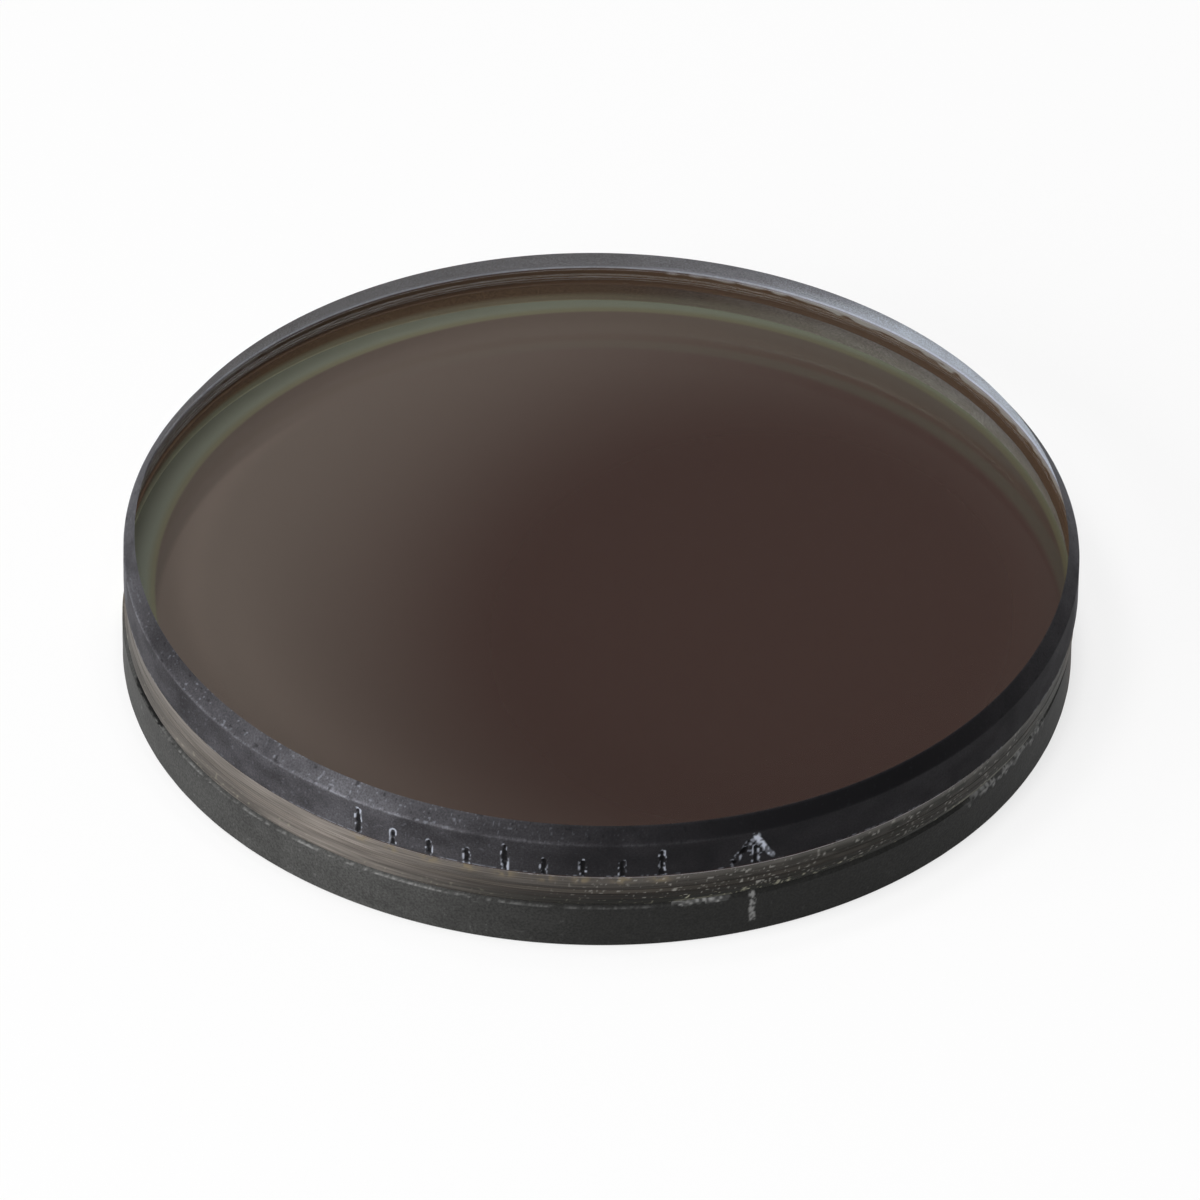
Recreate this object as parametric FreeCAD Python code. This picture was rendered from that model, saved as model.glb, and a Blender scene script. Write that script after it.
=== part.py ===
"""A laminated circular polarizer: a retarder film and a polarizer film cemented between two ground glass windows.

Millimetres, +Z up. The disc lies on the polished outer face of its rear window. The origin is on that face, on
the axis of the front window, which is the side that light enters.
"""

import FreeCAD, Part
import os

# The front window, a disc of polished glass with a ground wall
front_diameter = 25.35
front_thickness = 1.50

# The rear window, ground from thinner glass to a slightly smaller diameter
rear_undersize = 0.08
rear_thickness = 1.30

# The bevel ground round the front window's outer face, wide enough to be seen
outer_bevel_radial = 0.30
outer_bevel_axial = 0.43

# The fine bevels that take the sharpness off the other three edges
front_seam_bevel = 0.05
rear_seam_bevel = 0.10
rear_outer_bevel = 0.03

# The films, punched a little smaller than the front glass so that no film stands out of the rim
film_undersize = 0.15
retarder_thickness = 0.32
cover_thickness = 0.12
core_thickness = 0.05

# The bond lines of clear cement
front_cement_thickness = 0.07
film_cement_thickness = 0.07
rear_cement_thickness = 0.25
cement_recess = 0.03

# How the windows sit on each other: the cement set with the front window leaning and the rear one off to the side
lean_angle = 0.38
rear_shift = 0.08

front_radius = front_diameter / 2
rear_radius = (front_diameter - rear_undersize) / 2
film_radius = (front_diameter - film_undersize) / 2
bond_height = rear_thickness + rear_cement_thickness


def turned(profile):
    """The solid that a half section in the XZ plane, given as (radius, height) points, makes when it is turned."""
    points = [FreeCAD.Vector(radius, 0, height) for radius, height in profile]
    face = Part.Face(Part.makePolygon(points + points[:1]))
    return face.revolve(FreeCAD.Vector(0, 0, 0), FreeCAD.Vector(0, 0, 1), 360)


def leaning(shape, height):
    """A piece of the front group, lifted to its height in the stack and leaned with it about the bond line."""
    placed = shape.translated(FreeCAD.Vector(0, 0, bond_height + height))
    return placed.rotated(FreeCAD.Vector(0, 0, bond_height), FreeCAD.Vector(0, 1, 0), lean_angle)


def circle(radius, centre, normal):
    """A closed wire round a bond line's edge."""
    return Part.Wire(Part.makeCircle(radius, centre, normal))


def film(thickness):
    """A punched disc of film, its edge left square."""
    return Part.makeCylinder(film_radius, thickness)


def rear_window():
    """The rear glass: a fine bevel at its outer edge, and a wider one under the cement."""
    return turned([
        (0, 0),
        (rear_radius - rear_outer_bevel, 0),
        (rear_radius, rear_outer_bevel),
        (rear_radius, rear_thickness - rear_seam_bevel),
        (rear_radius - rear_seam_bevel, rear_thickness),
        (0, rear_thickness),
    ]).translated(FreeCAD.Vector(-rear_shift, 0, 0))


def rear_cement():
    """The bond line that took up the lean and the side shift: thicker on the -X side, and skewed."""
    across = FreeCAD.Rotation(FreeCAD.Vector(0, 1, 0), lean_angle)
    on_glass = circle(
        rear_radius - rear_seam_bevel - cement_recess,
        FreeCAD.Vector(-rear_shift, 0, rear_thickness),
        FreeCAD.Vector(0, 0, 1),
    )
    on_film = circle(
        film_radius - cement_recess,
        FreeCAD.Vector(0, 0, bond_height),
        across.multVec(FreeCAD.Vector(0, 0, 1)),
    )
    return Part.makeLoft([on_glass, on_film], True, True)


def film_cement():
    """The bond line between the polarizer film and the retarder film, drawn in a little at its edge."""
    return Part.makeCylinder(film_radius - cement_recess, film_cement_thickness)


def front_cement():
    """The bond line under the front window, flared from the films' edge out to the window's own."""
    return Part.makeCone(film_radius, front_radius - front_seam_bevel, front_cement_thickness)


def front_window():
    """The front glass: a fine bevel at the cemented edge, a straight ground wall and the wide outer bevel."""
    return turned([
        (0, 0),
        (front_radius - front_seam_bevel, 0),
        (front_radius, front_seam_bevel),
        (front_radius, front_thickness - outer_bevel_axial),
        (front_radius - outer_bevel_radial, front_thickness),
        (0, front_thickness),
    ])


# The leaning front group, from the rear bond line up: each piece's name, thickness and shape
front_group = [
    ("polarizer_rear_cover", cover_thickness, film(cover_thickness)),
    ("polarizer_core", core_thickness, film(core_thickness)),
    ("polarizer_front_cover", cover_thickness, film(cover_thickness)),
    ("film_cement", film_cement_thickness, film_cement()),
    ("quarter_wave_film", retarder_thickness, film(retarder_thickness)),
    ("front_cement", front_cement_thickness, front_cement()),
    ("front_window", front_thickness, front_window()),
]

pieces = {"rear_window": rear_window(), "rear_cement": rear_cement()}
height = 0.0
for name, thickness, shape in front_group:
    pieces[name] = leaning(shape, height)
    height += thickness

os.makedirs("parts", exist_ok=True)
for name, shape in pieces.items():
    shape.exportStep(f"parts/{name}.step")
    print(f"{name}: {shape.Volume:.3f} mm3, valid {shape.isValid()}, solids {len(shape.Solids)}")
print(f"height over the lean: {height + bond_height:.3f} mm")
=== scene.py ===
"""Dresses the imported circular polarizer: glass, ground rims, film edges, cement and the marks of wear."""

import math

import bpy
import numpy as np
from mathutils import Matrix, Vector


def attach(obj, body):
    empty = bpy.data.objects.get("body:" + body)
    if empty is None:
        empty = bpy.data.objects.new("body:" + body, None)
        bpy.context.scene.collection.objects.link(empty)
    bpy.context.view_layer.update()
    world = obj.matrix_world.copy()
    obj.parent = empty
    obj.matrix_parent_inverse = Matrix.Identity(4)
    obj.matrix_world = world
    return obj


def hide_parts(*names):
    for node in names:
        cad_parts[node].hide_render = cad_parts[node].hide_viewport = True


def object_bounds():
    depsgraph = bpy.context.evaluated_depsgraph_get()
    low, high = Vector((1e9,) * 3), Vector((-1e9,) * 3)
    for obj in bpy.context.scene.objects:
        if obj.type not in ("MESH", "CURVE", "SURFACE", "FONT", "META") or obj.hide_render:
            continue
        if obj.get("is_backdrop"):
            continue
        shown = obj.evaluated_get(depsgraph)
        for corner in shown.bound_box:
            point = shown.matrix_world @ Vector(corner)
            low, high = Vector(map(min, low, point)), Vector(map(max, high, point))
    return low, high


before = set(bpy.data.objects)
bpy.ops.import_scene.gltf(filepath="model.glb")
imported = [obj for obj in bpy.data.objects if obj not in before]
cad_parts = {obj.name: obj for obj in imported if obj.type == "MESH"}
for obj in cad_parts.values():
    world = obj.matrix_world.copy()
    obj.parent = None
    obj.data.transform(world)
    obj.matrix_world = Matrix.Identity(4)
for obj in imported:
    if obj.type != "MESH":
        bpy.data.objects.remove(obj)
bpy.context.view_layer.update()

# The camera
# A long lens looks down on the disc from in front of it. Its height above the table, its roll and its
# distance are those that bring the disc's outlines onto the photograph's.

MM = 0.001
view_height = math.radians(38.057)
view_roll = math.radians(0.623)
view_distance = 400 * MM
frame_pixels = 1200
pixels_per_mm = 37.637
sensor_width = 36.0
disc_middle = Vector((0, 0, 1.9)) * MM
middle_right_of_centre = 0.62
middle_above_centre = 11.12

back = Vector((0, -math.cos(view_height), math.sin(view_height)))
level_right = Vector((1, 0, 0))
level_up = Vector((0, math.sin(view_height), math.cos(view_height)))
right = level_right * math.cos(view_roll) + level_up * math.sin(view_roll)
up = level_up * math.cos(view_roll) - level_right * math.sin(view_roll)
aim = disc_middle - (right * middle_right_of_centre + up * middle_above_centre) * (MM / pixels_per_mm)

lens = bpy.data.cameras.new("photo_camera")
lens.sensor_width = sensor_width
lens.lens = sensor_width * pixels_per_mm * (view_distance / MM) / frame_pixels
lens.clip_start = 0.01
lens.clip_end = 10
camera = bpy.data.objects.new("photo_camera", lens)
facing = Matrix((right, up, back)).transposed().to_4x4()
camera.matrix_world = Matrix.Translation(aim + back * view_distance) @ facing
bpy.context.scene.collection.objects.link(camera)
bpy.context.scene.camera = camera
bpy.context.scene.view_settings.view_transform = "Standard"


# The table top
# A wide sheet of matt white board. To the camera, and to what glass shows, it is part lit board and part
# plain white, so that it reads as white and still takes the disc's shadow.

def linear(code):
    """The linear colour of an sRGB hex code: a straight piece near black, and a power curve above it."""
    parts = [int(code[place:place + 2], 16) / 255 for place in (1, 3, 5)]
    return [part / 12.92 if part <= 0.04045 else ((part + 0.055) / 1.055) ** 2.4 for part in parts] + [1.0]


def add(tree, kind, links=(), **settings):
    """Adds a node. Settings are its properties, or values of inputs where they are named in_ and the input's
    name or number. Links are pairs of an output and the name or number of the input that it feeds."""
    node = tree.nodes.new(kind)
    for key, value in settings.items():
        if key.startswith("in_"):
            name = key[3:].replace("_", " ")
            node.inputs[int(name) if name.isdigit() else name].default_value = value
        else:
            setattr(node, key, value)
    for source, target in links:
        tree.links.new(source, node.inputs[target])
    return node


def looked_at(tree):
    """An output that is 1 for the rays of the camera and of what glass and gloss show, and 0 for others."""
    rays = add(tree, "ShaderNodeLightPath")
    seen = rays.outputs["Is Camera Ray"]
    for kind in ("Is Glossy Ray", "Is Transmission Ray"):
        links = [(seen, 0), (rays.outputs[kind], 1)]
        seen = add(tree, "ShaderNodeMath", links, operation="MAXIMUM").outputs[0]
    return seen


board_half = 1.5
board_top = -0.02 * MM
board_plain_share = 0.72

board_mesh = bpy.data.meshes.new("table_board")
corners = [(x * board_half, y * board_half, board_top) for x, y in ((-1, -1), (1, -1), (1, 1), (-1, 1))]
board_mesh.from_pydata(corners, [], [(0, 1, 2, 3)])
board = bpy.data.objects.new("table_board", board_mesh)
bpy.context.scene.collection.objects.link(board)
board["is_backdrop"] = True

matt_board = bpy.data.materials.new("matt_white_board")
matt_board.use_nodes = True
tree = matt_board.node_tree
tree.nodes.clear()
lit = add(tree, "ShaderNodeBsdfDiffuse", in_Color=linear("#f6f6f6"))
plain = add(tree, "ShaderNodeEmission", in_Strength=1.0)
share = add(tree, "ShaderNodeMath", [(looked_at(tree), 0)], operation="MULTIPLY", in_1=board_plain_share)
mixed = add(tree, "ShaderNodeMixShader", [(share.outputs[0], 0), (lit.outputs[0], 1), (plain.outputs[0], 2)])
add(tree, "ShaderNodeOutputMaterial", [(mixed.outputs[0], "Surface")])
board_mesh.materials.append(matt_board)


# The studio light
# A soft box overhead, a second one low at the front left, and a dim room that is pale only low down, where
# the camera and the glass see it.

def soft_box(name, azimuth, elevation, distance, width, height, radiance):
    """A rectangular lamp that faces the disc from a direction in degrees. radiance is how bright it looks."""
    level = math.cos(math.radians(elevation))
    direction = Vector((
        math.cos(math.radians(azimuth)) * level,
        math.sin(math.radians(azimuth)) * level,
        math.sin(math.radians(elevation)),
    ))
    lamp = bpy.data.lights.new(name, "AREA")
    lamp.shape = "RECTANGLE"
    lamp.size, lamp.size_y = width * MM, height * MM
    lamp.energy = radiance * math.pi * lamp.size * lamp.size_y
    box = bpy.data.objects.new(name, lamp)
    facing = direction.to_track_quat("Z", "Y").to_matrix().to_4x4()
    box.matrix_world = Matrix.Translation(disc_middle + direction * distance * MM) @ facing
    box.visible_camera = False
    bpy.context.scene.collection.objects.link(box)


soft_box("overhead_soft_box", azimuth=-145, elevation=82, distance=600, width=450, height=450, radiance=4.6)
soft_box("front_left_soft_box", azimuth=-145, elevation=20, distance=600, width=550, height=400, radiance=4.4)

room_light = 0.10
pale_from = 0.30
pale_to = 0.08

room = bpy.data.worlds.new("dim_room")
bpy.context.scene.world = room
room.use_nodes = True
tree = room.node_tree
tree.nodes.clear()
direction = add(tree, "ShaderNodeTexCoord")
parts = add(tree, "ShaderNodeSeparateXYZ", [(direction.outputs["Generated"], 0)])
low = add(
    tree, "ShaderNodeMapRange", [(parts.outputs["Z"], 0)], interpolation_type="SMOOTHSTEP",
    in_From_Min=pale_from, in_From_Max=pale_to,
)
pale = add(tree, "ShaderNodeMath", [(looked_at(tree), 0), (low.outputs[0], 1)], operation="MULTIPLY")
strength = add(tree, "ShaderNodeMapRange", [(pale.outputs[0], 0)], in_To_Min=room_light, in_To_Max=1.0)
walls = add(tree, "ShaderNodeBackground", [(strength.outputs[0], "Strength")], in_Color=linear("#ffffff"))
add(tree, "ShaderNodeOutputWorld", [(walls.outputs[0], "Surface")])

# The glass focuses no bright spots, and rays may pass enough clear faces to cross the whole stack
bpy.context.scene.cycles.caustics_refractive = False
bpy.context.scene.cycles.caustics_reflective = False
bpy.context.scene.cycles.transparent_max_bounces = 32


# The rear window
# A disc of polished float glass, 1.3 mm thick, its wall ground fine and left dark. It carries the stack and
# lies on its coated outer face, on which a ring of light from the table under the rim is painted. Its upper
# edge has chipped, and the arrow's shaft ends on it.

front_radius = 12.675
rear_radius = 12.635
rear_shift = 0.08
rear_thickness = 1.30
rear_seam_bevel = 0.10
rear_outer_bevel = 0.03
rear_ripple_depth = 0.006
rear_chip_depth = 0.02
shaft_azimuth = -71.0
circumference = 2 * math.pi * front_radius

# The painted ring of light starts at a circle a little right of the middle. Its painted reflection lies
# nearer, and the circle along whose left side light is painted palest lies further right
painted_ring_radius = 12.05
painted_ring_shift = 0.25
ghost_shift = -1.58
left_light_shift = 1.0

# The ellipse round the face's darkest place, its turn in radians, and where in it the painted reflection
# starts and ends
dark_middle = (4.0, -1.6)
dark_half = (12.0, 14.8)
dark_turn = -0.2
painted_reflection_from = 0.49
painted_reflection_to = 1.25

# How a face's six rings shrink towards its middle. Each has half the points of the last, so a rim's count of
# points divides by 64. Then the angle past which an edge shows as sharp
face_rings = (0.985, 0.96, 0.91, 0.82, 0.65, 0.35)
sharp_angle = math.radians(32)


def turns(parts):
    """Azimuths in degrees once round the rim, from parts of (start, count), each up to the next start."""
    ends = [start for start, count in parts[1:]] + [parts[0][0] + 360]
    spans = [(start, end, count) for (start, count), end in zip(parts, ends)]
    return np.concatenate([np.linspace(start, end, count, endpoint=False) for start, end, count in spans])


def rows(profile, counts):
    """Points of a profile of (radius, height) corners, each straight stretch divided into counts steps."""
    corners = np.array(profile, float)
    steps = [np.arange(1, count + 1) / count + place for place, count in enumerate(counts)]
    at = np.concatenate([[0.0]] + steps)
    return [np.interp(at, np.arange(len(corners)), corners[:, axis])[:, None] for axis in (0, 1)]


def over_rim(azimuth, height):
    """Each rim point's place round the rim in mm, its height in mm and its azimuth in degrees."""
    deg, up_mm = np.broadcast_arrays(azimuth, height)
    return np.radians(deg) * front_radius, up_mm, deg


lattice_rows_below = 40


def patches(around_mm, up_mm, cell_around, cell_up, seed):
    """Smooth random numbers from 0 to 1 over the rim: a lattice of random numbers, closed round the rim, is
    read between its points with a smooth step in both directions."""
    across = round(circumference / cell_around)
    u = around_mm / circumference * across
    v = up_mm / cell_up + lattice_rows_below
    tall = int(v.max()) + 2
    lattice = np.random.default_rng(seed).random((tall, across))
    left, low = np.floor(u).astype(int), np.floor(v).astype(int)
    s, t = u - left, v - low
    s, t = s * s * (3 - 2 * s), t * t * (3 - 2 * t)
    left, after = left % across, (left + 1) % across
    lower = lattice[low, left] * (1 - s) + lattice[low, after] * s
    upper = lattice[low + 1, left] * (1 - s) + lattice[low + 1, after] * s
    return lower * (1 - t) + upper * t


def soft(values, start, end):
    """0 at start, 1 at end, and a smooth step between: three squares of the share less two cubes of it."""
    t = np.clip((values - start) / (end - start), 0, 1)
    return t * t * (3 - 2 * t)


def between(values, low, high, blur):
    """1 between low and high, falling smoothly to 0 over the blur outside them."""
    return soft(values, low - blur, low) * (1 - soft(values, high, high + blur))


def bell(values, middle, width):
    """A bell curve, 1 at its middle: e to minus the square of the distance from there in widths."""
    return np.exp(-(((values - middle) / width) ** 2))


def round_rim(deg, stops):
    """Values that run straight from one (azimuth, value) stop to the next, and from the last to the first."""
    places, values = zip(*stops)
    return np.interp(deg, places, values, period=360)


def far_side(deg):
    """1 on the far part of the rim, seen from inside the stack, and 0 on the near part."""
    return round_rim(deg, [(-172, 0), (-15, 0), (0, 1), (172, 1)])


def disc_mesh(name, x, y, z, surfaces, materials, marks):
    """A closed round piece. Rows of points run up its rim, from the edge of its lower face to the edge of its
    upper one. Each face is rings that shrink towards the middle, every ring with half as many points as the
    last, and a fan. surfaces gives the material of the lower face, of the rim and of the upper face; marks
    are named values on the rim's points."""
    count, around = x.shape
    rim = np.stack([x, y, z], axis=2)
    blocks = [rim.reshape(-1, 3)]
    step = np.arange(around)
    after = (step + 1) % around
    band = np.arange(count - 1)[:, None] * around
    quads = np.stack([band + step, band + after, band + around + after, band + around + step], axis=2)
    quads = quads.reshape(-1, 4)
    faces = [[], []]
    used = count * around
    for side, edge, base in ((0, rim[0], 0), (1, rim[-1], (count - 1) * around)):
        middle = edge.mean(axis=0)
        outer = base + step
        for shrunk in face_rings:
            inner = used + np.arange(len(outer) // 2)
            blocks.append(middle + (edge[:: around // len(inner)] - middle) * shrunk)
            used += len(inner)
            near, halfway, far = outer[0::2], outer[1::2], np.roll(outer[0::2], -1)
            beyond = np.roll(inner, -1)
            faces[side] += [(near, halfway, inner), (halfway, beyond, inner), (halfway, far, beyond)]
            outer = inner
        blocks.append(middle[None])
        faces[side].append((outer, np.roll(outer, -1), np.full(len(outer), used)))
        used += 1
    lower, upper = (np.concatenate([np.stack(three, axis=1) for three in side]) for side in faces)
    lower = lower[:, ::-1]
    corners = np.concatenate([quads.ravel(), lower.ravel(), upper.ravel()])
    sizes = np.concatenate([np.full(len(quads), 4), np.full(len(lower) + len(upper), 3)])
    mesh = bpy.data.meshes.new(name)
    mesh.vertices.add(used)
    mesh.vertices.foreach_set("co", np.concatenate(blocks).ravel() * MM)
    mesh.loops.add(len(corners))
    mesh.loops.foreach_set("vertex_index", corners)
    mesh.polygons.add(len(sizes))
    mesh.polygons.foreach_set("loop_start", np.cumsum(sizes) - sizes)
    bottom, wall, top = surfaces
    slots = np.repeat([wall, bottom, top], [len(quads), len(lower), len(upper)])
    mesh.polygons.foreach_set("material_index", slots.astype(np.int32))
    mesh.update()
    mesh.validate()
    mesh.shade_smooth()
    mesh.set_sharp_from_angle(angle=sharp_angle)
    for mark, values in marks.items():
        layer = mesh.attributes.new(mark, "FLOAT", "POINT")
        layer.data.foreach_set("value", np.append(values.ravel(), np.zeros(used - values.size)))
    for material in materials:
        mesh.materials.append(material)
    piece = bpy.data.objects.new(name, mesh)
    bpy.context.scene.collection.objects.link(piece)
    return piece


def finish(name, **settings):
    """A material of one Principled shader, with its node tree and the shader."""
    made = bpy.data.materials.new(name)
    made.use_nodes = True
    made.node_tree.nodes.clear()
    shader = add(made.node_tree, "ShaderNodeBsdfPrincipled", **settings)
    add(made.node_tree, "ShaderNodeOutputMaterial", [(shader.outputs[0], "Surface")])
    return made, made.node_tree, shader


def marked(tree, tone, mark, colour):
    """A tone that goes over to a colour where the rim has a mark. The tone is an output or, as the colour
    is, a hex code."""
    reading = add(tree, "ShaderNodeAttribute", attribute_name=mark)
    mixed = add(tree, "ShaderNodeMix", [(reading.outputs["Fac"], 0)], data_type="RGBA", in_B=linear(colour))
    if isinstance(tone, str):
        mixed.inputs["A"].default_value = linear(tone)
    else:
        tree.links.new(tone, mixed.inputs["A"])
    return mixed.outputs["Result"]


# Fine ground glass with a dark back: grains of about 0.06 mm, with painted light, paler where light falls,
# most at the far right, and darkest at the near right. Seen from inside it is painted brown, the stack's
# light and shade, and at its foot it has painted grey-green light from the face's painted ring. Chips are
# pale, and the gap under the stack is painted nearly black, a painted shade
fine_grit = 0.0625
fine_ground, tree, shader = finish("fine_ground_glass", in_Roughness=0.6, in_Specular_IOR_Level=0.15)
place = add(tree, "ShaderNodeTexCoord")
grain = add(
    tree, "ShaderNodeTexNoise", [(place.outputs["Object"], "Vector")],
    in_Scale=1 / (fine_grit * MM), in_Detail=2.0,
)
toned = add(
    tree, "ShaderNodeMapRange", [(grain.outputs["Fac"], 0)],
    in_From_Min=0.3, in_From_Max=0.7, in_To_Min=0.65, in_To_Max=1.35,
)
tone = marked(tree, "#191918", "inner", "#a78766")
tone = marked(tree, tone, "frost_and_painted_light", "#949492")
body = add(tree, "ShaderNodeVectorMath", [(tone, 0), (toned.outputs[0], 1)], operation="MULTIPLY")
tone = body.outputs[0]
for mark, colour in (("foot", "#d6d9bc"), ("chipped", "#a3a3a2"), ("painted_gap_shade", "#060606")):
    tone = marked(tree, tone, mark, colour)
tree.links.new(tone, shader.inputs["Base Color"])
bumps = [(grain.outputs["Fac"], "Height")]
rough = add(tree, "ShaderNodeBump", bumps, in_Strength=0.5, in_Distance=0.02 * MM)
tree.links.new(rough.outputs["Normal"], shader.inputs["Normal"])


def away(tree, place, x, y):
    """How far a place lies from the point (x, y), given in mm: the length of their difference, in metres."""
    apart = add(tree, "ShaderNodeVectorMath", [(place, 0)], operation="SUBTRACT", in_1=(x * MM, y * MM, 0))
    return add(tree, "ShaderNodeVectorMath", [(apart.outputs[0], 0)], operation="LENGTH").outputs["Value"]


# The coated outer face from inside the glass: plum brown, with a painted reflection of soft light that is
# least at the near right and grows away from there, and painted light palest along the left edge, and it
# mirrors a tenth of the light. Near the rim, a little off centre, a grey-green ring with an olive inner edge
# is painted light from the table lit under the rim. The window's two faces mirror that ring and the wall's
# brown line between them, and that painted reflection shows both once more, faintly, 1.58 mm nearer
coated, tree, shader = finish(
    "coated_rear_face", in_Roughness=0.04, in_IOR=2.0, in_Specular_Tint=linear("#e7ffed"),
)
place = add(tree, "ShaderNodeTexCoord").outputs["Object"]
dark_ellipse_place = add(
    tree, "ShaderNodeMapping", [(place, 0)], vector_type="TEXTURE",
    in_Location=(dark_middle[0] * MM, dark_middle[1] * MM, 0), in_Rotation=(0, 0, dark_turn),
    in_Scale=(dark_half[0] * MM, dark_half[1] * MM, 1),
)
from_dark = add(tree, "ShaderNodeVectorMath", [(dark_ellipse_place.outputs[0], 0)], operation="LENGTH")
painted_light = add(
    tree, "ShaderNodeMapRange", [(from_dark.outputs["Value"], 0)], interpolation_type="SMOOTHSTEP",
    in_From_Min=painted_reflection_from, in_From_Max=painted_reflection_to,
)
# Distances from the middles of the painted ring of light, of its painted reflection and of the painted left
# light
from_painted_ring = away(tree, place, painted_ring_shift, 0)
from_mirrored = away(tree, place, painted_ring_shift, ghost_shift)
from_left_light = away(tree, place, left_light_shift, 0)

# Each tone where the painted reflection is least and most, the distance it goes by, and where past the
# painted ring's radius it starts to show and where it is full
tint = None
for darkest, most_lit, distance, start, end in (
    ("#412d29", "#776c64", None, None, None),
    ("#412d29", "#897c73", from_left_light, -0.9, 0.3),
    ("#49463b", "#776c64", from_mirrored, -0.12, 0.1),
    ("#483930", "#756a61", from_mirrored, 0.28, 0.40),
    ("#4c463d", "#776c64", from_mirrored, 0.5, 0.75),
    ("#5a563f", "#8c8b72", from_painted_ring, 0.0, 0.1),
    ("#6d745f", "#939a8b", from_painted_ring, 0.1, 0.35),
):
    tone = add(
        tree, "ShaderNodeMix", [(painted_light.outputs[0], 0)], data_type="RGBA",
        in_A=linear(darkest), in_B=linear(most_lit),
    )
    if distance is not None:
        reached = add(
            tree, "ShaderNodeMapRange", [(distance, 0)], interpolation_type="SMOOTHSTEP",
            in_From_Min=(painted_ring_radius + start) * MM, in_From_Max=(painted_ring_radius + end) * MM,
        )
        links = [(reached.outputs[0], 0), (tint.outputs["Result"], "A"), (tone.outputs["Result"], "B")]
        tone = add(tree, "ShaderNodeMix", links, data_type="RGBA")
    tint = tone
tree.links.new(tint.outputs["Result"], shader.inputs["Base Color"])


def clear_face(name):
    """A face under clear cement. Nothing is seen of it, as the cement's index is the glass's own."""
    made = bpy.data.materials.new(name)
    made.use_nodes = True
    made.node_tree.nodes.clear()
    through = add(made.node_tree, "ShaderNodeBsdfTransparent")
    add(made.node_tree, "ShaderNodeOutputMaterial", [(through.outputs[0], "Surface")])
    return made


bonded = clear_face("cemented_glass_face")

azimuth = turns([(-165, 160), (-125, 400), (-65, 480), (60, 240)])
profile = [
    (rear_radius - rear_outer_bevel, 0), (rear_radius, rear_outer_bevel),
    (rear_radius, rear_thickness - rear_seam_bevel), (rear_radius - rear_seam_bevel, rear_thickness),
]
radius, height = rows(profile, [1, 30, 4])
along, up_mm, deg = over_rim(azimuth, height)
on_rim = height > 0
crumbs = patches(along, up_mm, 0.09, 0.06, 11)
runs = patches(along, 0 * up_mm, 0.9, 9, 12)
# Painted light on the wall: paler where light falls, most at the far right, darkest at the near right
frost_and_painted_light = round_rim(deg, [
    (-180, 0.13), (-150, 0.12), (-140, 0.125), (-130, 0.15), (-120, 0.17), (-110, 0.12), (-100, 0.064),
    (-90, 0.022), (-80, 0.02), (-50, 0.02), (-5, 0.025), (12, 0.35), (35, 0.7), (55, 0.6), (70, 0.3),
    (85, 0.06), (100, 0.0), (135, 0.0), (150, 0.12), (160, 0.3), (172, 0.35),
])
frost_and_painted_light = frost_and_painted_light * (0.8 + 0.4 * patches(along, up_mm, 0.5, 0.3, 15))

# The chipped upper edge, worst at the left, and stray crumbs on the wall
edge_zone = between(up_mm, rear_thickness - 0.08, rear_thickness - 0.06, 0.02)
left_run = round_rim(deg, [
    (-165, 0.1), (-152, 0.35), (-132, 0.4), (-122, 0.6), (-106, 0.5), (-100, 0.22), (-84, 0.15), (-80, 0),
    (0, 0), (170, 0),
])
fine = patches(along, up_mm, 0.05, 0.06, 18)
chipped = soft(crumbs * 0.6 + runs * 0.5, 0.28, 0.62) * (0.35 + 0.8 * soft(fine, 0.3, 0.8))
chipped = chipped * edge_zone * left_run
strays = soft(patches(along, up_mm, 0.07, 0.07, 16), 0.9, 0.99)
strays = strays * round_rim(deg, [(-170, 0.2), (-110, 0.12), (-90, 0.05), (0, 0.03)])

# Cement smeared over the edge at the near right, in a ragged run and in one narrow tongue
tongue = (-80.5, -74)
ragged_low = (patches(along, 0 * up_mm, 0.12, 9, 17) - 0.5) * 0.12
run = between(up_mm + 2.2 * ragged_low, rear_thickness - 0.18, rear_thickness, 0.05)
smear = run * between(deg, -36, -24, 5) * 0.9
run = between(up_mm + ragged_low, rear_thickness - 0.1, rear_thickness, 0.02)
smear = np.maximum(smear, run * between(deg, *tongue, 0.4))
smear = smear * (0.1 + 0.6 * soft(crumbs, 0.2, 0.8))

# The end of the arrow's shaft, a wavering line of chips, and painted shade, nearly black, in the gap under
# the stack at the far left
waver = (patches(along * 0, up_mm, 9, 0.2, 13) - 0.5) * 0.05
from_shaft = np.abs(along - math.radians(shaft_azimuth) * front_radius - waver)
shaft = (1 - soft(from_shaft, 0.05, 0.11)) * between(up_mm, 0.38, 1.25, 0.05) * soft(fine, 0.2, 0.75) * 0.6
chipped = np.maximum.reduce([chipped, strays, smear, shaft]) * on_rim
painted_gap_shade = between(up_mm + ragged_low * 0.4, rear_thickness - 0.065, rear_thickness + 0.01, 0.015)
painted_gap_shade = painted_gap_shade * between(deg, -176, -155.5, 0.7) * on_rim

# The far wall, seen from inside: painted brown, the stack's light and shade seen from inside, growing towards
# the far left, and painted light at its foot
inner = far_side(deg) * round_rim(deg, [
    (-172, 0), (-15, 0), (0, 0.2), (80, 0.16), (90, 0.3), (110, 0.54), (130, 0.85), (150, 1),
])
foot = round_rim(deg, [
    (5, 0), (20, 0.08), (60, 0.08), (80, 0.14), (90, 0.2), (110, 0.38), (130, 0.75), (145, 1), (172, 1),
    (178, 0),
])
foot_top = round_rim(deg, [(30, 0.8), (60, 1.1), (80, 0.7), (95, 0.6), (180, 0.6)])
foot = foot * (1 - soft(up_mm, 0.15, foot_top))

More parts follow.
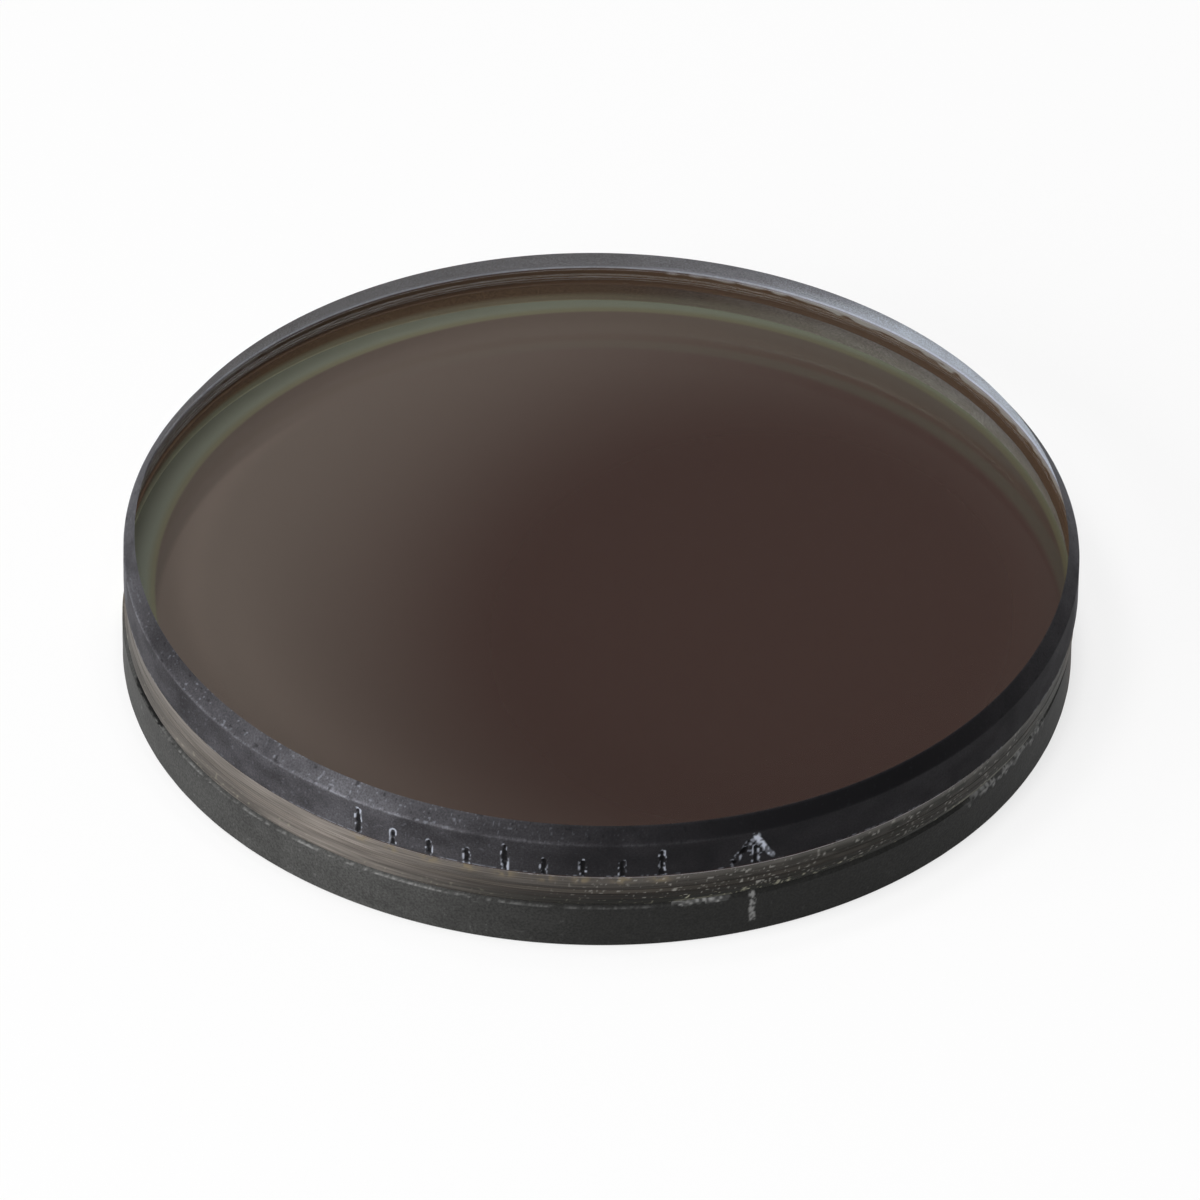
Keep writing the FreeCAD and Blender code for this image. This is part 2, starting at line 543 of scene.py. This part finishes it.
depth = patches(along, up_mm, 0.35, 0.2, 14) * rear_ripple_depth + chipped * rear_chip_depth
out = radius - depth * on_rim
angle = np.radians(azimuth)
rear_window = disc_mesh(
    "rear_window_glass", out * np.cos(angle) - rear_shift, out * np.sin(angle), up_mm, (1, 0, 2),
    [fine_ground, coated, bonded],
    {"frost_and_painted_light": frost_and_painted_light, "chipped": chipped, "painted_gap_shade": painted_gap_shade, "inner": inner, "foot": foot},
)
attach(rear_window, "root")
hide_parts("rear_window")


# The rear cement
# The bond line of clear cement between the rear window and the films, thicker on the left, where the stack
# leans. Cement has squeezed out over the window's edge at the near right.

film_radius = 12.60
cement_recess = 0.03
rear_cement_thickness = 0.25
lean_angle = math.radians(0.38)
bond_height = rear_thickness + rear_cement_thickness
clearance = 0.004
lump_depth = 0.010
streak_length = 2.5


def leaned(radius, height, azimuth):
    """The points after the front group's lean: x' = x cos L + h sin L, z' = bond line + h cos L - x sin L."""
    x = radius * np.cos(np.radians(azimuth))
    y = radius * np.sin(np.radians(azimuth))
    across = x * math.cos(lean_angle) + height * math.sin(lean_angle)
    high = bond_height + height * math.cos(lean_angle) - x * math.sin(lean_angle)
    return across, y, high


def lumps(along, up_mm):
    """How far a cut or cemented edge lies inside its circle, in mm: smooth random patches of 0.4 mm. It runs
    on from piece to piece, so that no slit opens between them."""
    return patches(along, up_mm, 0.4, 0.05, 31) * lump_depth


def unseen_inside(piece):
    """A clear layer that only the camera and the glass look at: it neither shades nor bounces light."""
    piece.visible_shadow = False
    piece.visible_diffuse = False


clear = clear_face("clear_bonded_face")


def edge_finish(name, dark, light, streak, inner, pale="#b4b2ac"):
    """A cut polymer or cement edge: streaks along the rim, each about streak mm thick, between a dark and a
    light tone. It is painted paler where light falls on it and painted darker where it is in shade, takes the
    inner colour, the painted light and shade of the stack's inside, where it is seen from inside the stack,
    and has scorched spots and pale crumbs."""
    made, tree, shader = finish(name, in_Roughness=0.5, in_Specular_IOR_Level=0.15)
    place = add(tree, "ShaderNodeTexCoord")
    level, upright = 1 / (streak_length * MM), 1 / (streak * MM)
    links = [(place.outputs["Object"], 0)]
    stretched = add(tree, "ShaderNodeMapping", links, in_Scale=(level, level, upright))
    grain = add(tree, "ShaderNodeTexNoise", [(stretched.outputs[0], "Vector")], in_Scale=1.0, in_Detail=3.0)
    streaks = [(grain.outputs["Fac"], 0)]
    toned = add(tree, "ShaderNodeMapRange", streaks, in_From_Min=0.3, in_From_Max=0.7)
    body = add(
        tree, "ShaderNodeMix", [(toned.outputs[0], 0)], data_type="RGBA",
        in_A=linear(dark), in_B=linear(light),
    )
    uneven = add(tree, "ShaderNodeMapRange", streaks, in_From_Min=0.35, in_From_Max=0.6, in_To_Min=0.55)
    # Painted light: a paler tan, uneven with the streaks, where light falls on the edge
    painted_light = add(tree, "ShaderNodeAttribute", attribute_name="painted_light")
    links = [(painted_light.outputs["Fac"], 0), (uneven.outputs[0], 1)]
    share = add(tree, "ShaderNodeMath", links, operation="MULTIPLY")
    links = [(share.outputs[0], 0), (body.outputs["Result"], "A")]
    tone = add(tree, "ShaderNodeMix", links, data_type="RGBA", in_B=linear("#a89f97")).outputs["Result"]
    # Painted shade where the edge faces away from the light, and the painted light and shade of the stack's
    # inside where it is seen from inside
    for mark, colour in (("painted_shade", "#1b1b15"), ("inner", inner), ("burnt", "#7c7058"), ("chipped", pale)):
        tone = marked(tree, tone, mark, colour)
    tree.links.new(tone, shader.inputs["Base Color"])
    bumps = [(grain.outputs["Fac"], "Height")]
    rough = add(tree, "ShaderNodeBump", bumps, in_Strength=0.25, in_Distance=0.03 * MM)
    tree.links.new(rough.outputs["Normal"], shader.inputs["Normal"])
    return made


def edge_wear(along, up_mm, deg):
    """How much painted light and painted shade the edge has and whether it is seen from inside: all run
    smoothly with the azimuth, the painted light is uneven in patches of about a millimetre and the painted
    shade in patches of 0.35 mm."""
    # Painted light: strongest on the near left, which faces the light
    painted_light = round_rim(deg, [
        (-180, 0.2), (-160, 0.2), (-150, 0.22), (-140, 0.3), (-130, 0.36), (-120, 0.5), (-112, 0.24),
        (-105, 0.1), (-97, 0.03), (-90, 0.0), (-45, 0.0), (-38, 0.02), (-28, 0.04), (-18, 0.0), (0, 0.0),
        (179, 0.15),
    ])
    painted_light = painted_light * (0.6 + 0.8 * patches(along, up_mm, 1.1, 0.12, 61))
    # Painted shade: at the near right, which faces away from the light
    painted_shade = round_rim(deg, [
        (-88, 0.0), (-72, 0.45), (-60, 0.6), (-38, 0.7), (-20, 0.85), (-8, 0.5), (0, 0.0), (179, 0.0),
    ])
    painted_shade = painted_shade * (0.4 + 1.2 * patches(along, up_mm, 0.35, 0.12, 63))
    return {"painted_light": np.clip(painted_light, 0, 1), "painted_shade": np.clip(painted_shade, 0, 1), "inner": far_side(deg)}


rear_cement_streak = 0.06
rear_cement_edge = edge_finish(
    "rear_cement_edge", "#121210", "#252421", rear_cement_streak, "#554230", pale="#a9a793",
)

# Up the bond's edge: how far out it is, and what share of its thickness that is up
profile = [
    (rear_radius - rear_seam_bevel - cement_recess, 0.0), (film_radius - 0.04, 0.06),
    (film_radius, 0.3), (film_radius, 1.0),
]
radius, share = rows(profile, [2, 5, 9])
along, up_mm, deg = over_rim(azimuth, (share - 1) * rear_cement_thickness)
marks = edge_wear(along, up_mm, deg)

# Pale specks crowded at the near right, the squeezed-out run and tongue, and three fine cracks between them
specks = patches(along, up_mm, 0.055, 0.055, 21)
crowd = round_rim(deg, [
    (-150, 0.2), (-100, 0.1), (-88, 0.1), (-80, 0.45), (-60, 0.35), (-35, 0.3), (-20, 0.1), (0, 0.0),
])
chipped = soft(specks + 0.2 * crowd, 0.84, 1.0) * np.minimum(1, crowd * 1.6)
smear = between(up_mm, -0.3, -0.16, 0.03) * between(deg, *tongue, 0.4)
smear = np.maximum(smear, between(deg, -40, -14, 5) * 0.8) * (0.05 + 0.27 * specks)
crack = sum(bell(deg, place, 0.22) for place in (-68.1, -66.6, -72.3)) * soft(specks, 0.3, 0.6) * 0.6
marks["chipped"] = np.clip(np.maximum.reduce([chipped, smear, crack]), 0, 1)
x, y, top = leaned(radius - lumps(along, up_mm), 0 * share - clearance / 2, azimuth)
x = x - rear_shift * (1 - share)
z = (rear_thickness + clearance) * (1 - share) + top * share
rear_cement = disc_mesh("rear_cement_bond", x, y, z, (0, 1, 0), [clear, rear_cement_edge], marks)
unseen_inside(rear_cement)
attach(rear_cement, "root")
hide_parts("rear_cement")


# The polarizer's rear cover film
# One of the two clear films of cellulose that the dyed film is laminated between. The laminate is punched out
# as a disc, and the rear cement holds it.

cover_thickness = 0.12
film_streak = 0.03


def layer(name, node, slot, low, thickness, edge, face, steps, extra=None, waist=0.0, flare=0.0):
    """A thin disc of the leaning stack, from a height above the rear bond line up, with an uneven rim. extra
    gives more marks for the rim from its points; waist is how far it is drawn in halfway up, along a half
    sine; and flare is how far its upper edge stands out."""
    bottom, top = low + clearance / 2, low + thickness - clearance / 2
    radius, height = rows([(film_radius, bottom), (film_radius + flare, top)], [steps])
    radius = radius - waist * np.sin(np.pi * (height - bottom) / (top - bottom))
    along, up_mm, deg = over_rim(azimuth, height)
    x, y, z = leaned(radius - lumps(along, up_mm), height, azimuth)
    marks = edge_wear(along, up_mm, deg)
    marks.update({} if extra is None else extra(along, up_mm, deg))
    piece = disc_mesh(name, x, y, z, (0, 1, 0), [face, edge], marks)
    unseen_inside(piece)
    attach(piece, "root")
    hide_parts(node)


def crumbs_at_right(along, up_mm, deg):
    """White crumbs of 0.06 mm scattered over the near right of the rim."""
    crowd = round_rim(deg, [(-100, 0.0), (-85, 0.3), (-60, 0.35), (-30, 0.3), (-15, 0.0)])
    return {"chipped": soft(patches(along, up_mm, 0.06, 0.06, 62) + 0.2 * crowd, 0.84, 1.0) * crowd * 1.5}


cover_edge = edge_finish("rear_cover_film_edge", "#191715", "#2a2724", film_streak, "#55402a")
layer(
    "polarizer_rear_cover_film", "polarizer_rear_cover", "polarizer_cover", 0.0, cover_thickness,
    cover_edge, clear, 3, crumbs_at_right,
)


# The polarizer's dyed core
# The stretched film that polarizes: iodine-dyed polyvinyl alcohol, only 0.05 mm thick, and dark at its edge.
# It is held by the cover film on each side.

core_low = cover_thickness
core_thickness = 0.05
core_edge = edge_finish("dyed_film_edge", "#161412", "#221f1b", film_streak, "#44301b")

# Dyed film from above: a weak brown tint, as one of the two polarized halves of the light comes through
dyed, tree, shader = finish(
    "dyed_film_face", in_Roughness=0.5, in_Alpha=0.12, in_Specular_IOR_Level=0.0,
    in_Base_Color=linear("#473733"),
)
layer("polarizer_core_film", "polarizer_core", "polarizer_core", core_low, core_thickness, core_edge, dyed, 2)


# The polarizer's front cover film
# The other clear cellulose film of the polarizer, laminated onto the core's front face. It is the thin light
# line on the rim.

front_cover_low = core_low + core_thickness
front_cover_edge = edge_finish("front_cover_film_edge", "#302c28", "#45403a", film_streak, "#55402a")
layer(
    "polarizer_front_cover_film", "polarizer_front_cover", "polarizer_cover", front_cover_low,
    cover_thickness, front_cover_edge, clear, 3, crumbs_at_right,
)


# The film cement
# The bond line of clear cement between the polarizer and the retarder, drawn in a little at its edge. It is
# the thin dark line on the rim.

film_cement_low = front_cover_low + cover_thickness
film_cement_thickness = 0.07
film_cement_edge = edge_finish("film_cement_edge", "#242220", "#3a3733", film_streak, "#55402a")
layer(
    "film_cement_bond", "film_cement", "optical_cement", film_cement_low, film_cement_thickness,
    film_cement_edge, clear, 4, waist=0.3 * cement_recess,
)


# The quarter-wave film
# The stretched polymer retarder, the broad tan band on the rim, streaked by the punch. The laser that
# engraved the front window's wall has scorched it under the marks.

retarder_low = film_cement_low + film_cement_thickness
retarder_thickness = 0.32
retarder_top = retarder_low + retarder_thickness
retarder_streak = 0.035
mark_azimuths = np.linspace(-119.5, -82.5, 9)


def scorched(along, up_mm, deg):
    """Scorched spots under the engraved marks: a bell curve across each mark, fading down from the top edge.
    The film takes more painted light in its upper half, its top edge is torn and pale at the far side and
    hazed at the near right, and crumbs lie on it there."""
    below = retarder_top - up_mm
    across = sum(bell(deg, mark, 1.1) for mark in mark_azimuths)
    spots = across * soft(below, 0.26, 0.06) * soft(patches(along, up_mm, 0.12, 0.08, 41), 0.25, 0.6)
    ragged = below + (patches(along, up_mm, 0.3, 0.2, 43) - 0.5) * 0.3
    reach = round_rim(deg, [
        (3, 0.0), (10, 0.3), (55, 0.22), (80, 0.06), (90, 0.0), (125, 0.0), (145, 0.3), (172, 0.45),
    ])
    share = round_rim(deg, [
        (3, 0), (10, 0.6), (60, 0.8), (80, 0.5), (90, 0), (125, 0), (145, 0.5), (172, 0.5), (178, 0),
    ])
    torn = (1 - soft(ragged, reach - 0.06, reach)) * share
    crumbs = crumbs_at_right(along, up_mm, deg)["chipped"]
    hazed = round_rim(deg, [(-90, 0), (-75, 0.1), (-55, 0.2), (-35, 0.2), (-22, 0.08), (0, 0), (179, 0)])
    pale = np.maximum.reduce([torn, crumbs, hazed * soft(below, 0.18, 0.02)])
    painted_light = edge_wear(along, up_mm, deg)["painted_light"] + 0.10 * soft(below, 0.23, 0.08) * between(deg, -160, -35, 10)
    return {"burnt": np.clip(spots * 0.7, 0, 1), "painted_light": np.clip(painted_light, 0, 1), "chipped": pale}


retarder_edge = edge_finish("retarder_film_edge", "#2d2a27", "#4c4844", retarder_streak, "#5c4838")
layer(
    "quarter_wave_retarder_film", "quarter_wave_film", "retarder_film", retarder_low, retarder_thickness,
    retarder_edge, clear, 8, scorched,
)


# The front cement
# The bond line of clear cement under the front window, flared out to the window's own edge. It is a fine
# light line round the rim.

front_cement_low = retarder_top
front_cement_thickness = 0.07
front_cement_inset = 0.035


def scorched_line(along, up_mm, deg):
    """The marks of the retarder's top edge carried on, a pale line at the near right, and small white crumbs
    where the glass above has chipped."""
    crumbs = soft(patches(along, up_mm, 0.07, 0.05, 42), 0.72, 0.9) * between(deg, -150, -15, 8) * 0.5
    below = scorched(along, 0 * up_mm + retarder_top - 0.02, deg)
    # A third of the edge's painted shade
    painted_shade = edge_wear(along, up_mm, deg)["painted_shade"] * 0.3
    line = round_rim(deg, [
        (-95, 0), (-80, 0.2), (-60, 0.35), (-40, 0.45), (-20, 0.35), (-10, 0.1), (0, 0), (179, 0),
    ])
    line = line * (0.5 + patches(along, up_mm, 0.25, 0.1, 44))
    pale = np.maximum.reduce([crumbs, line, below["chipped"]])
    return {"burnt": below["burnt"], "chipped": pale, "painted_shade": painted_shade}


front_cement_edge = edge_finish(
    "front_cement_edge", "#4c4947", "#6e6b6a", film_streak, "#5e4d44", pale="#b3b0b5",
)
layer(
    "front_cement_bond", "front_cement", "optical_cement", front_cement_low, front_cement_thickness,
    front_cement_edge, clear, 2, scorched_line, flare=front_radius - front_cement_inset - film_radius,
)


# The front window
# A disc of polished glass, 1.5 mm thick, with a ground wall and a wide ground bevel. An arrow and a row of
# plain graduation ticks are engraved in its wall, and its edges are chipped.

glass_index = 1.517
front_base = front_cement_low + front_cement_thickness
front_thickness = 1.50
outer_bevel_radial = 0.30
outer_bevel_axial = 0.43
front_seam_bevel = 0.05
wall_top = front_thickness - outer_bevel_axial
face_edge = front_radius - outer_bevel_radial
front_ripple_depth = 0.004
groove_depth = 0.05
front_chip_depth = 0.015

# The engraving, by azimuth in degrees and height up the wall in mm
tick_foot = 0.06
short_tick_top = 0.5
long_tick_top = 0.8
ticks_per_long_tick = 4
arrow_azimuth = -71.2
arrow_tip = 0.93
shaft_top = 0.55
left_barb_end = (-73.8, 0.22)
right_barb_end = (-69.0, 0.17)

# Polished glass with an antireflection coating, which takes nearly all of the reflection seen face on. Shadow
# rays pass straight through it, so that lamps light the stack inside
polished = bpy.data.materials.new("polished_window_glass")
polished.use_nodes = True
tree = polished.node_tree
tree.nodes.clear()
glass = add(
    tree, "ShaderNodeBsdfPrincipled", in_Roughness=0.0, in_IOR=glass_index, in_Transmission_Weight=1.0,
    in_Base_Color=linear("#fcfcfc"), in_Specular_Tint=linear("#404040"),
)
let = add(tree, "ShaderNodeBsdfTransparent", in_Color=linear("#fafafa"))
rays = add(tree, "ShaderNodeLightPath")
links = [(rays.outputs["Is Shadow Ray"], 0), (glass.outputs[0], 1), (let.outputs[0], 2)]
way = add(tree, "ShaderNodeMixShader", links)
add(tree, "ShaderNodeOutputMaterial", [(way.outputs[0], "Surface")])

# Ground glass: dark where it is wetted by the stack behind it, paler where it is frosted and where light is
# painted on it, pale where it is chipped, black in the engraved grooves, and a little sheer, most so on the
# far side. Its grit is of about 0.05 mm
wall_grit = 0.05
ground, tree, shader = finish(
    "ground_window_glass", in_Roughness=0.85, in_IOR=glass_index, in_Specular_IOR_Level=0.05,
)
sheer = add(tree, "ShaderNodeAttribute", attribute_name="sheer")
tree.links.new(sheer.outputs["Fac"], shader.inputs["Transmission Weight"])
place = add(tree, "ShaderNodeTexCoord")
grain = add(
    tree, "ShaderNodeTexNoise", [(place.outputs["Object"], "Vector")],
    in_Scale=1 / (wall_grit * MM), in_Detail=2.0,
)
toned = add(
    tree, "ShaderNodeMapRange", [(grain.outputs["Fac"], 0)],
    in_From_Min=0.3, in_From_Max=0.7, in_To_Min=0.7, in_To_Max=1.3,
)
frost_and_light_reading = add(tree, "ShaderNodeAttribute", attribute_name="frost_and_painted_light")
links = [(frost_and_light_reading.outputs["Fac"], 0), (toned.outputs[0], 1)]
gritty = add(tree, "ShaderNodeMath", links, operation="MULTIPLY", use_clamp=True)
whitest = add(
    tree, "ShaderNodeMix", [(gritty.outputs[0], 0)], data_type="RGBA",
    in_A=linear("#c4c0c8"), in_B=linear("#e6f1ff"),
)
links = [(gritty.outputs[0], 0), (whitest.outputs["Result"], "B")]
tone = add(tree, "ShaderNodeMix", links, data_type="RGBA", in_A=linear("#0d0d10")).outputs["Result"]
for mark, colour in (("chipped", "#ccd2e0"), ("groove", "#08080a")):
    tone = marked(tree, tone, mark, colour)
tree.links.new(tone, shader.inputs["Base Color"])

azimuth = turns([(-165, 200), (-125, 600), (-65, 720), (80, 208)])
profile = [
    (front_radius - front_seam_bevel, clearance), (front_radius, front_seam_bevel),
    (front_radius, wall_top), (face_edge, front_thickness - 0.001),
]
radius, height = rows(profile, [2, 34, 13])
along, up_mm, deg = over_rim(azimuth, height)


def stroke(along, up_mm, start, end):
    """How far each point of the wall lies from a straight engraved stroke, in mm: from its foot on the
    stroke's line, kept between the two ends. An end is an azimuth and a height."""
    start, end = (np.array([math.radians(turn) * front_radius, height]) for turn, height in (start, end))
    way = end - start
    share = np.clip(((along - start[0]) * way[0] + (up_mm - start[1]) * way[1]) / (way @ way), 0, 1)
    return np.hypot(along - start[0] - share * way[0], up_mm - start[1] - share * way[1])


fine = patches(along, up_mm, 0.07, 0.07, 53)
pits = patches(along, up_mm, 0.12, 0.10, 56)
coarse = patches(along, up_mm, 0.5, 0.3, 54)
broad = patches(along, up_mm, 2.2, 0.6, 55)
bevel = soft(height, wall_top - 0.01, wall_top + 0.01)
on_wall = (height > 0.02) * (1 - bevel)

# The engraved lines: nine evenly spaced plain ticks, every fourth one longer, and the arrow's shaft and barbs
wobble = (patches(along, up_mm, 0.15, 0.15, 51) - 0.5) * 0.05
lines = [((arrow_azimuth, shaft_top), (arrow_azimuth, 0.0))]
for place, mark in enumerate(mark_azimuths):
    top = short_tick_top if place % ticks_per_long_tick else long_tick_top
    lines.append(((mark, tick_foot), (mark, top)))
ticks = np.minimum.reduce([stroke(along, up_mm, start, end) for start, end in lines]) + wobble
tip = (arrow_azimuth, arrow_tip)
left_barb = stroke(along, up_mm, tip, left_barb_end) + wobble
right_barb = stroke(along, up_mm, tip, right_barb_end) + wobble

# Ticks, shaft and left barb are dark grooves with chipped rims, and the right barb is all chips
groove = (1 - soft(ticks, 0.035, 0.075)) * (0.4 + 0.45 * soft(pits, 0.25, 0.5))
groove = np.maximum(groove, (1 - soft(left_barb, 0.04, 0.10)) * soft(pits, 0.45, 0.7)) * on_wall
rims = between(ticks, 0.06, 0.09, 0.025) * soft(fine, 0.45, 0.75)
rims = rims * round_rim(deg, [(-120, 0.8), (-80, 0.6), (0, 0.6)])
dotted = (1 - soft(left_barb, 0.09, 0.15)) * soft(fine, 0.5, 0.8) * 0.45
bright = (1 - soft(right_barb, 0.04, 0.09)) * (0.15 + 0.75 * soft(fine, 0.35, 0.75))
from_axis = np.abs(along - math.radians(arrow_azimuth) * front_radius)
inside_arrow = between(from_axis, 0, 0.6 * (arrow_tip - up_mm), 0.03) * between(up_mm, 0.25, 0.75, 0.05)
dotted = np.maximum(dotted, inside_arrow * soft(fine, 0.6, 0.85) * 0.3)
chipped = np.maximum.reduce([rims, dotted, bright]) * on_wall

# Frost and painted light: painted pale at the left, darkest at the near right, palest at the far right, where
# light comes in
wall_frost_and_light = round_rim(deg, [
    (-170, 0.10), (-160, 0.09), (-150, 0.07), (-140, 0.095), (-130, 0.105), (-120, 0.105), (-110, 0.075),
    (-100, 0.04), (-90, 0.023), (-80, 0.018), (-60, 0.018), (-50, 0.026), (-30, 0.027), (-20, 0.036),
    (-10, 0.05), (3, 0.4), (12, 0.9), (30, 0.95), (50, 1.0), (62, 0.65), (75, 0.36), (90, 0.25),
    (110, 0.27), (130, 0.32), (150, 0.34), (172, 0.34),
])
bevel_frost_and_light = round_rim(deg, [
    (-170, 0.10), (-160, 0.055), (-150, 0.075), (-140, 0.085), (-130, 0.115), (-120, 0.14), (-110, 0.10),
    (-100, 0.04), (-90, 0.024), (-80, 0.009), (-70, 0.002), (-50, 0.0), (-40, 0.006), (-20, 0.03),
    (-10, 0.05), (20, 0.2), (170, 0.16),
])
sheer = round_rim(deg, [
    (-175, 0.15), (-5, 0.15), (10, 0.2), (50, 0.2), (80, 0.4), (95, 0.5), (160, 0.5), (172, 0.3),
])
near = round_rim(deg, [(-175, 1.0), (-5, 1.0), (10, 0.3), (165, 0.3)])
frost_and_painted_light = wall_frost_and_light * (1 - bevel) + bevel_frost_and_light * bevel
frost_and_painted_light = frost_and_painted_light * (1 + near * (0.6 * coarse + 0.5 * broad - 0.55))
# Painted shade: the far right darker higher up the wall
frost_and_painted_light = frost_and_painted_light * (1 - round_rim(deg, [(5, 0.0), (20, 0.25), (60, 0.3), (85, 0.0)]) * soft(up_mm, 0.1, 1.0))

# Painted highlights along the ridge between wall and bevel, strongest at the left, and along the face's edge,
# strongest at the near right, and pits in the bevel
ridge_highlight = bell(height, wall_top, 0.04) * round_rim(deg, [
    (-175, 0.12), (-140, 0.12), (-120, 0.2), (-108, 0.14), (-95, 0.05), (-80, 0.03), (-70, 0.004), (0, 0.0),
])
frost_and_painted_light = frost_and_painted_light + ridge_highlight * (0.2 + 1.6 * fine * coarse)
face_edge_highlight = soft(height, front_thickness - 0.05, front_thickness - 0.01)
face_edge_highlight = face_edge_highlight * round_rim(deg, [(-170, 0.012), (-90, 0.012), (-70, 0.03), (-25, 0.03), (-10, 0.01)])
frost_and_painted_light = np.clip((frost_and_painted_light + face_edge_highlight) * (1 - 0.6 * soft(pits, 0.82, 0.95) * bevel), 0, 1)
specks = soft(patches(along, up_mm, 0.05, 0.05, 57), 0.82, 0.97) * (0.25 + 0.45 * bevel)
specks = specks * round_rim(deg, [
    (-170, 0.15), (-145, 0.3), (-120, 0.4), (-105, 0.2), (-92, 0.06), (-80, 0.01), (0, 0.01),
])

# The chipped seam edge: a thin line of crumbs at the near side, and a ragged pale band round the far side
seam = (1 - soft(up_mm, 0.05, 0.10)) * soft(fine * 0.5 + coarse * 0.5, 0.5, 0.75)
seam = seam * round_rim(deg, [(-170, 0.3), (-20, 0.25), (-5, 0.0), (5, 0.0)])
ragged = 1 - soft(up_mm + (coarse - 0.5) * 0.16 + (fine - 0.5) * 0.08, 0.08, 0.22)
ragged = ragged * (0.6 + 0.5 * fine) * round_rim(deg, [
    (3, 0.0), (12, 0.5), (30, 0.75), (55, 0.8), (70, 0.45), (90, 0.13), (130, 0.12), (150, 0.05), (175, 0.0),
])
chipped = np.clip(np.maximum.reduce([chipped, specks, seam, ragged]), 0, 1)

depth = patches(along, up_mm, 0.3, 0.2, 52) * front_ripple_depth
depth = depth + np.maximum(groove * groove_depth, chipped * front_chip_depth)
x, y, z = leaned(radius - depth * (radius > face_edge + 0.01), front_base + height, azimuth)
front_window = disc_mesh(
    "front_window_glass", x, y, z, (2, 1, 0), [polished, ground, bonded],
    {"frost_and_painted_light": frost_and_painted_light, "chipped": chipped, "groove": groove, "sheer": sheer},
)
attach(front_window, "root")
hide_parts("front_window")


low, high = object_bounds()
